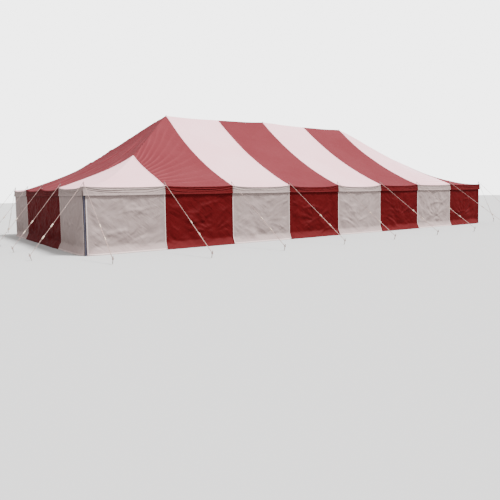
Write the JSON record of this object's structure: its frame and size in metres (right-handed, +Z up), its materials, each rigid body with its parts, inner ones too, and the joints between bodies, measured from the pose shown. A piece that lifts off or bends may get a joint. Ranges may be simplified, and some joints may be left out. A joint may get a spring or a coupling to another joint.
{
  "type": "pole tent",
  "caption": "Striped pole tent with a hipped roof on centre poles, side poles, guy ropes, pegs and hung wall curtains on all sides.",
  "frame": {"origin": "on the ground, at the middle of the tent's plan, under the middle centre pole", "axes": "+X along the ridge, +Z up, the tent's front towards -Y"},
  "size_m": [23.064, 15.864, 5.105],
  "materials": {
    "roof_red": "matt coated cloth, red",
    "roof_white": "matt coated cloth, white",
    "wall_red": "matt cloth, dark red",
    "wall_white": "matt cloth, greyish white",
    "side_pole": "dark steel tube",
    "centre_pole": "grey steel tube",
    "guy_rope": "pale twisted rope",
    "slider": "plain wooden runner",
    "peg_steel": "dark steel peg"
  },
  "bodies": {
    "root": {"roof_corner_front_left": "roof_white", "roof_corner_back_left": "roof_white", "roof_corner_front_right": "roof_red", "roof_corner_back_right": "roof_red", "roof_left_end": "roof_red", "roof_right_end": "roof_white", "roof_strip_3": "roof_white", "roof_strip_4": "roof_red", "roof_strip_5": "roof_white", "roof_strip_6": "roof_red", "wall_front_1": "wall_white", "wall_back_1": "wall_white", "wall_front_2": "wall_red", "wall_back_2": "wall_red", "wall_front_3": "wall_white", "wall_back_3": "wall_white", "wall_front_4": "wall_red", "wall_back_4": "wall_red", "wall_front_5": "wall_white", "wall_back_5": "wall_white", "wall_front_6": "wall_red", "wall_back_6": "wall_red", "wall_front_7": "wall_white", "wall_back_7": "wall_white", "wall_front_8": "wall_red", "wall_back_8": "wall_red", "wall_left_front": "wall_white", "wall_right_front": "wall_red", "wall_left_middle": "wall_red", "wall_right_middle": "wall_white", "wall_left_back": "wall_white", "wall_right_back": "wall_red", "side_pole_front_1": "side_pole", "side_pole_front_2": "side_pole", "side_pole_front_3": "side_pole", "side_pole_front_4": "side_pole", "side_pole_front_5": "side_pole", "side_pole_front_6": "side_pole", "side_pole_front_7": "side_pole", "side_pole_front_8": "side_pole", "side_pole_front_9": "side_pole", "side_pole_back_1": "side_pole", "side_pole_back_2": "side_pole", "side_pole_back_3": "side_pole", "side_pole_back_4": "side_pole", "side_pole_back_5": "side_pole", "side_pole_back_6": "side_pole", "side_pole_back_7": "side_pole", "side_pole_back_8": "side_pole", "side_pole_back_9": "side_pole", "side_pole_left_1": "side_pole", "side_pole_left_2": "side_pole", "side_pole_left_3": "side_pole", "side_pole_right_1": "side_pole", "side_pole_right_2": "side_pole", "side_pole_right_3": "side_pole", "centre_pole_left": "centre_pole", "centre_pole_middle": "centre_pole", "centre_pole_right": "centre_pole"}
  },
  "joints": []
}
